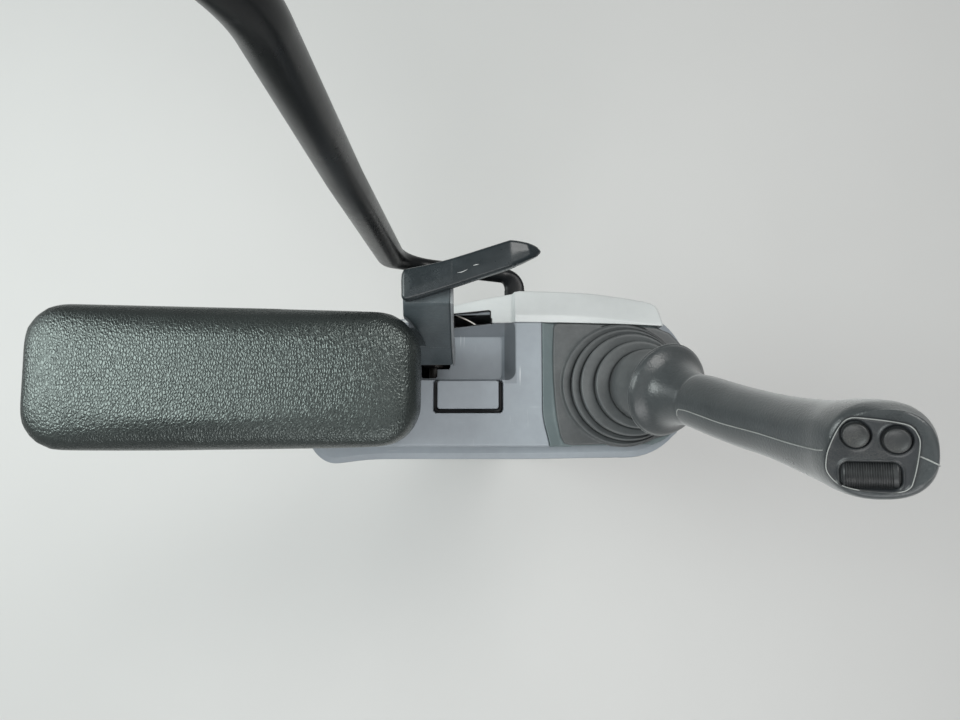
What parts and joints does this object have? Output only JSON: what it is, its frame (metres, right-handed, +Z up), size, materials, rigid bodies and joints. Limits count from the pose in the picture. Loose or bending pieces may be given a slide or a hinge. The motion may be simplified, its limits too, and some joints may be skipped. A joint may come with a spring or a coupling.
{
  "type": "excavator control console",
  "caption": "Operator's left-hand control console on a floor stand, with tilting housing, joystick in a rubber boot, lock lever, lifting armrest and grab rail.",
  "frame": {"origin": "centre of the base plate's underside, on the cab floor", "axes": "+X to the machine's front, +Y to the outboard (left) side, +Z up"},
  "size_m": [0.5946, 0.2525, 1.0255],
  "materials": {
    "stand_paint": "satin black paint",
    "rail_paint": "semi-gloss black paint",
    "zinc_steel": "zinc-plated",
    "rubber": "matte moulded rubber",
    "grey_plastic": "fine-grained grey plastic",
    "light_plastic": "fine-grained light grey plastic",
    "dark_plastic": "matte dark grey plastic",
    "boot_rubber": "matte dark grey rubber",
    "valve_iron": "as cast",
    "armrest_vinyl": "pebble-grained black vinyl",
    "lever_plastic": "satin moulded black plastic",
    "grip_plastic": "fine-grained soft black plastic",
    "panel_plastic": "satin black plastic"
  },
  "bodies": {
    "stand": {"base_plate": "stand_paint", "pedestal": "stand_paint", "saddle": "stand_paint", "pivot_bolt": "zinc_steel", "rest_bumpers": "rubber", "outrigger": "stand_paint", "grab_rail": "rail_paint", "rail_bolt": "zinc_steel"},
    "console": {"console_frame": "stand_paint", "lower_cover": "grey_plastic", "top_cover": "grey_plastic", "lid": "grey_plastic", "wing_trim": "light_plastic", "boot_bezel": "dark_plastic", "boot": "boot_rubber", "pilot_valve": "valve_iron", "lever_bracket": "stand_paint", "armrest_bracket": "stand_paint", "armrest_pin": "zinc_steel", "armrest_stop": "rubber"},
    "armrest": {"armrest_plate": "stand_paint", "armrest_pad": "armrest_vinyl"},
    "lock_lever": {"lever_shaft": "zinc_steel", "lever_post": "lever_plastic", "lever_arm": "lever_plastic"},
    "gimbal": {"gimbal_cross": "zinc_steel"},
    "joystick": {"stick_rod": "zinc_steel", "boot_collar": "boot_rubber", "grip": "grip_plastic", "switch_panel": "panel_plastic", "button_rear": "panel_plastic", "button_front": "panel_plastic", "thumb_roller": "panel_plastic"}
  },
  "joints": [
    {"name": "console_tilt", "type": "hinge", "parent": "stand", "child": "console", "pos_m": [-0.135, 0, 0.4485], "axis": [0, -1, 0], "range_deg": [0, 25]},
    {"name": "armrest_lift", "type": "hinge", "parent": "console", "child": "armrest", "pos_m": [-0.325, 0.007, 0.611], "axis": [0, -1, 0], "range_deg": [0, 80]},
    {"name": "lever_swing", "type": "hinge", "parent": "console", "child": "lock_lever", "pos_m": [-0.055, 0, 0.548], "axis": [0, 1, 0], "range_deg": [0, 38]},
    {"name": "stick_side", "type": "hinge", "parent": "console", "child": "gimbal", "pos_m": [0.112, 0.002, 0.572], "axis": [1, 0, 0], "range_deg": [-19, 19], "stiffness_Nm_per_rad": 12},
    {"name": "stick_fore", "type": "hinge", "parent": "gimbal", "child": "joystick", "pos_m": [0.112, 0.002, 0.572], "axis": [0, 1, 0], "range_deg": [-19, 19], "stiffness_Nm_per_rad": 12, "deforming": ["boot"]}
  ]
}
